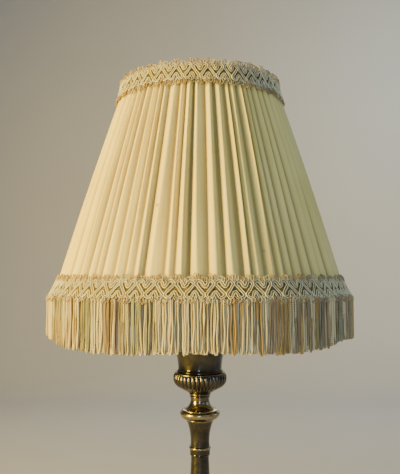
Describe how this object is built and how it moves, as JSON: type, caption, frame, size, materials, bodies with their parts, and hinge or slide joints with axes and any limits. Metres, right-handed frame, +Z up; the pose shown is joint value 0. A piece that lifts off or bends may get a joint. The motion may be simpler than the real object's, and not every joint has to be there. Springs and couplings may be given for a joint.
{
  "type": "candlestick lamp",
  "caption": "Table lamp like a turned brass candlestick: gadrooned candle cup on a slim column and round foot, under a conical pleated silk shade with braid and fringe.",
  "frame": {"origin": "on the surface the lamp stands on, under the middle of its round foot", "axes": "+Z up along the column; the lamp is seen from -Y, +X is on the viewer's right, and the lead's inlet is at the back, at +Y"},
  "size_m": [0.3054, 0.3054, 0.5712],
  "materials": {
    "antique_brass": "cast and turned, dark patina, worn gold on the edges",
    "felt": "pressed felt",
    "iron": "rough cast",
    "steel": "zinc plated",
    "bush_plastic": "moulded",
    "bright_brass": "polished and lacquered",
    "insulating_card": "vulcanised fibre",
    "moulded_base": "moulded",
    "key_plastic": "moulded, polished",
    "bulb_metal": "spun",
    "solder_tip": "tinned",
    "frosted_glass": "frosted inside",
    "clear_glass": "clear",
    "filament_wire": "drawn wire",
    "shade_wire": "enamelled wire",
    "lining_cloth": "plain woven, stretched",
    "silk": "thin silk gathered in uneven folds, aged",
    "gimp": "scroll braid of twisted cord",
    "tape": "woven heading tape",
    "fringe_yarn": "cut fringe of twisted silk yarn"
  },
  "bodies": {
    "lamp_base": {"felt_pad": "felt", "cord_bush": "bush_plastic", "ballast": "iron", "bottom_washer": "steel", "bottom_nut": "steel", "tie_pipe": "steel", "cup_nut": "steel", "holder_cap": "bright_brass", "cap_set_screw": "steel", "holder_shell": "bright_brass", "holder_sleeve": "insulating_card", "holder_base": "moulded_base", "terminal_screws": "bright_brass", "screw_shell": "bright_brass", "socket_contact": "bright_brass", "harp_saddle": "bright_brass", "harp": "bright_brass", "harp_seat": "bright_brass", "foot_plate": "antique_brass", "foot_gadroon_ring": "antique_brass", "foot_dome": "antique_brass", "base_collar": "antique_brass", "column_shaft": "antique_brass", "astragal_ring": "antique_brass", "column_neck": "antique_brass", "knop": "antique_brass", "urn_stem": "antique_brass", "gadroon_bowl": "antique_brass", "bowl_shoulder": "antique_brass", "candle_cup": "antique_brass", "cup_lid": "antique_brass"},
    "shade": {"shade_top_ring": "shade_wire", "shade_bottom_ring": "shade_wire", "shade_struts": "shade_wire", "shade_spider": "bright_brass", "shade_lining": "lining_cloth", "pleated_cover": "silk", "top_braid": "gimp", "fringe_heading": "tape", "bottom_braid": "gimp", "fringe": "fringe_yarn"},
    "bulb_contact": {"bulb_tip": "solder_tip"},
    "bulb": {"bulb_cap": "bulb_metal", "bulb_glass": "frosted_glass", "bulb_stem": "clear_glass", "filament": "filament_wire"},
    "switch_knob": {"switch_spindle": "bright_brass", "switch_key": "key_plastic"},
    "ferrule_left": {"harp_ferrule_left": "bright_brass"},
    "ferrule_right": {"harp_ferrule_right": "bright_brass"},
    "finial_sleeve": {"finial_insert": "bright_brass"},
    "finial": {"finial_knob": "antique_brass"}
  },
  "joints": [
    {"name": "shade_turn", "type": "hinge", "parent": "lamp_base", "child": "shade", "pos_m": [0, 0, 0.5427], "axis": [0, 0, 1], "continuous": true},
    {"name": "bulb_rise", "type": "slide", "parent": "lamp_base", "child": "bulb_contact", "axis": [0, 0, 1], "range_m": [0, 0.01815]},
    {"name": "bulb_turn", "type": "hinge", "parent": "bulb_contact", "child": "bulb", "pos_m": [0, 0, 0.3283], "axis": [0, 0, 1], "range_deg": [0, 1803]},
    {"name": "key_turn", "type": "hinge", "parent": "lamp_base", "child": "switch_knob", "pos_m": [0, -0.02, 0.3169], "axis": [0, -1, 0], "continuous": true},
    {"name": "ferrule_left_slide", "type": "slide", "parent": "lamp_base", "child": "ferrule_left", "axis": [0, 0, 1], "range_m": [0, 0.014]},
    {"name": "ferrule_right_slide", "type": "slide", "parent": "lamp_base", "child": "ferrule_right", "axis": [0, 0, 1], "range_m": [0, 0.014]},
    {"name": "finial_rise", "type": "slide", "parent": "lamp_base", "child": "finial_sleeve", "axis": [0, 0, 1], "range_m": [0, 0.01129]},
    {"name": "finial_turn", "type": "hinge", "parent": "finial_sleeve", "child": "finial", "pos_m": [0, 0, 0.5442], "axis": [0, 0, 1], "range_deg": [0, 4323]}
  ],
  "couplings": [
    {"joint": "bulb_turn", "follows": "bulb_rise", "rad_per_m": 1731.4},
    {"joint": "finial_turn", "follows": "finial_rise", "rad_per_m": 6679}
  ]
}
